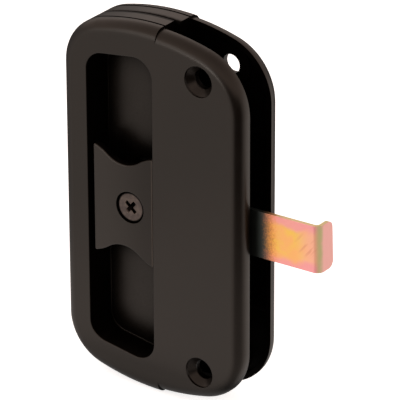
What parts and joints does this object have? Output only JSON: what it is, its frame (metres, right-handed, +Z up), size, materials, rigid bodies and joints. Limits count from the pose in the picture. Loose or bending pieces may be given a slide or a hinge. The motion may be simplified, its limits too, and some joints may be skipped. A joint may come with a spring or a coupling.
{
  "type": "screen door latch",
  "caption": "Sliding screen door latch: moulded pulls clasp the stile, and thumb slides move a bent flat steel strip up and down.",
  "frame": {"origin": "midway between the two fixing holes, in the middle of the gap that takes the door's stile", "axes": "+Z up, the inside of the door towards -Y, the latch strip reaches towards +X"},
  "size_m": [0.0787, 0.0176, 0.1058],
  "materials": {
    "handle_plastic": "satin moulded, dark bronze",
    "slide_plastic": "satin moulded, dark bronze",
    "screw_steel": "bronze coated",
    "strip_steel": "yellow zinc plated, iridescent"
  },
  "bodies": {
    "handle": {"inside_handle": "handle_plastic", "outside_handle": "handle_plastic"},
    "latch": {"inside_slide": "slide_plastic", "outside_slide": "slide_plastic", "slide_screw": "screw_steel", "latch_strip": "strip_steel"}
  },
  "joints": [
    {"name": "latch_slide", "type": "slide", "parent": "handle", "child": "latch", "axis": [0, 0, 1], "range_m": [-0.008, 0.008]}
  ]
}
